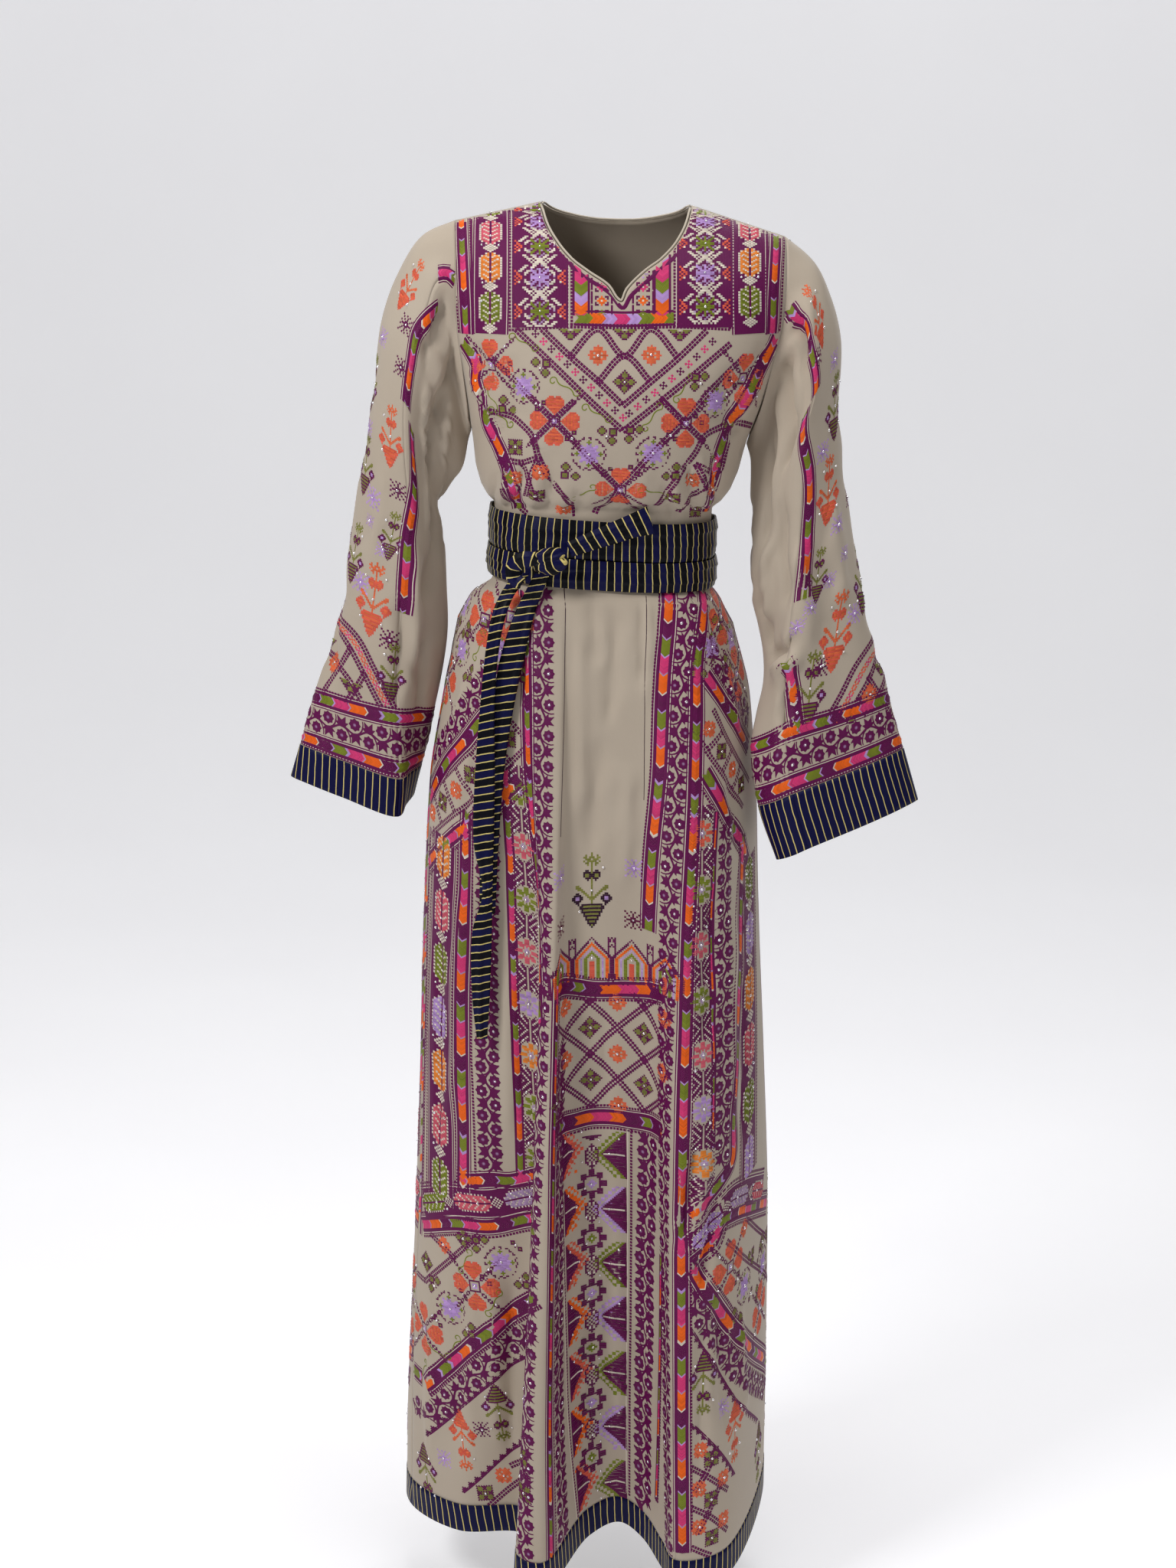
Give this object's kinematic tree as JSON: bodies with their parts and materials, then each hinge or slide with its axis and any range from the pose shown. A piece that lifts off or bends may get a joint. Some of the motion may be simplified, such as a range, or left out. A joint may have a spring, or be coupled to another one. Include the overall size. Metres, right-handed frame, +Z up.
{
  "type": "worn abaya with sash",
  "caption": "Long hollow worn abaya of greige crepe with cross-stitch banding, wide sleeves, striped cuffs and hem, and a striped sash tied at the waist.",
  "frame": {"origin": "between the shoulders, level with the neck ends of the shoulder seams, where the wearer's shoulders carry the garment", "axes": "+Z up along the wearer's body, the front faces -Y, +X to the right as seen from the front"},
  "size_m": [0.695, 0.3383, 1.5219],
  "materials": {
    "body_cloth": "matt crepe, embroidered",
    "striped_trim": "satin weave with gold stripes",
    "sash_cloth": "satin weave with gold stripes",
    "neck_trim": "soft"
  },
  "bodies": {
    "root": {"bodice_front": "body_cloth", "bodice_back": "body_cloth", "skirt_front_left": "body_cloth", "skirt_front_centre": "body_cloth", "skirt_front_right": "body_cloth", "skirt_back": "body_cloth", "sleeve_left_outer": "body_cloth", "sleeve_left_under": "body_cloth", "sleeve_right_outer": "body_cloth", "sleeve_right_under": "body_cloth", "hem_front_left": "striped_trim", "hem_front_centre": "striped_trim", "hem_front_right": "striped_trim", "hem_back": "striped_trim", "cuff_left_outer": "striped_trim", "cuff_left_under": "striped_trim", "cuff_right_outer": "striped_trim", "cuff_right_under": "striped_trim", "sash_turn_upper": "sash_cloth", "sash_turn_lower": "sash_cloth", "sash_end_short": "sash_cloth", "sash_tail_front": "sash_cloth", "sash_tail_back": "sash_cloth", "sash_knot": "sash_cloth", "neck_binding": "neck_trim"}
  },
  "joints": []
}
